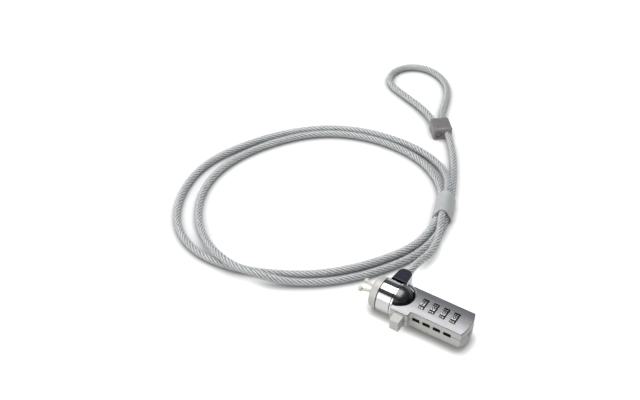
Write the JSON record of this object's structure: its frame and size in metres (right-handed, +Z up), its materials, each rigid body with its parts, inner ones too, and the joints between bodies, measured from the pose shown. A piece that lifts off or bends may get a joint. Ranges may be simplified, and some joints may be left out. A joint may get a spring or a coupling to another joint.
{
  "type": "laptop cable lock",
  "caption": "Combination cable lock for a laptop's security slot, with number wheels, a swivel collar on a ball neck, spread hooks and a clear-coated steel cable ending in an eye",
  "frame": {"origin": "on the underside of the lock's housing, below the middle of the wheels", "axes": "+X along the lock to its end with the code-change screw (the hooks point to -X), +Y to the side that the cable leaves, -Y to the release button, +Z up"},
  "size_m": [0.2374, 0.2756, 0.0218],
  "materials": {
    "cast_shell": "matte silver grey",
    "brushed_plate": "brushed",
    "dark_chrome": "polished, dark",
    "bright_chrome": "polished",
    "washer_brass": "turned",
    "dark_panel": "satin, nearly black",
    "steel": "turned",
    "hook_steel": "stamped",
    "dial_metal": "satin",
    "sleeve_brass": "turned",
    "clear_coat": "clear coat over twisted steel strands",
    "ferrule_grey": "matte warm grey",
    "clear_band": "clear"
  },
  "bodies": {
    "cable_end": {"swivel_collar": "bright_chrome", "lug_panel": "dark_panel", "cable_stop": "steel", "cable": "clear_coat", "eye_loop": "clear_coat", "ferrule": "ferrule_grey", "coil_tie": "clear_band"},
    "lock_body": {"lower_housing": "cast_shell", "upper_housing": "cast_shell", "face_plate": "brushed_plate", "ball_neck": "dark_chrome", "rim_ring": "bright_chrome", "thrust_washer": "washer_brass", "head_cap": "cast_shell", "hook_pin": "steel", "spindle_spring": "steel", "button_pin": "steel", "button_spring": "steel", "detent_spring": "steel", "housing_pins": "steel"},
    "spindle_slide": {"spindle": "steel", "hook_spreader": "steel", "spring_seat": "steel"},
    "button": {"push_button": "cast_shell"},
    "far_hook": {"hook_far": "hook_steel"},
    "near_hook": {"hook_near": "hook_steel"},
    "code_change": {"change_screw": "steel", "change_plate": "steel"},
    "wheel_1": {"dial_1": "dial_metal", "sleeve_1": "sleeve_brass"},
    "wheel_2": {"dial_2": "dial_metal", "sleeve_2": "sleeve_brass"},
    "wheel_3": {"dial_3": "dial_metal", "sleeve_3": "sleeve_brass"},
    "wheel_4": {"dial_4": "dial_metal", "sleeve_4": "sleeve_brass"}
  },
  "joints": [
    {"name": "lock_swivel", "type": "hinge", "parent": "cable_end", "child": "lock_body", "pos_m": [-0.03375, 0, 0.0107], "axis": [1, 0, 0], "continuous": true},
    {"name": "release", "type": "slide", "parent": "lock_body", "child": "spindle_slide", "axis": [1, 0, 0], "range_m": [0, 0.0028], "stiffness_N_per_m": 500, "springref_m": -0.004, "deforming": ["spindle_spring"]},
    {"name": "button_press", "type": "slide", "parent": "lock_body", "child": "button", "axis": [0, 1, 0], "range_m": [0, 0.0028], "deforming": ["button_spring"]},
    {"name": "far_hook_pivot", "type": "hinge", "parent": "lock_body", "child": "far_hook", "pos_m": [-0.0412, 0, 0.0107], "axis": [0, 0, 1], "range_deg": [0, 10]},
    {"name": "near_hook_pivot", "type": "hinge", "parent": "lock_body", "child": "near_hook", "pos_m": [-0.0412, 0, 0.0107], "axis": [0, 0, -1], "range_deg": [0, 10]},
    {"name": "code_change_turn", "type": "hinge", "parent": "lock_body", "child": "code_change", "pos_m": [0.0185, 0, 0.0107], "axis": [1, 0, 0], "range_deg": [0, 90]},
    {"name": "wheel_1_turn", "type": "hinge", "parent": "lock_body", "child": "wheel_1", "pos_m": [-0.0105, 0, 0.0107], "axis": [1, 0, 0], "continuous": true},
    {"name": "wheel_2_turn", "type": "hinge", "parent": "lock_body", "child": "wheel_2", "pos_m": [-0.0035, 0, 0.0107], "axis": [1, 0, 0], "continuous": true},
    {"name": "wheel_3_turn", "type": "hinge", "parent": "lock_body", "child": "wheel_3", "pos_m": [0.0035, 0, 0.0107], "axis": [1, 0, 0], "continuous": true},
    {"name": "wheel_4_turn", "type": "hinge", "parent": "lock_body", "child": "wheel_4", "pos_m": [0.0105, 0, 0.0107], "axis": [1, 0, 0], "continuous": true}
  ],
  "couplings": [
    {"joint": "button_press", "follows": "release", "ratio": 1},
    {"joint": "far_hook_pivot", "follows": "release", "rad_per_m": 62.3},
    {"joint": "near_hook_pivot", "follows": "release", "rad_per_m": 62.3}
  ]
}
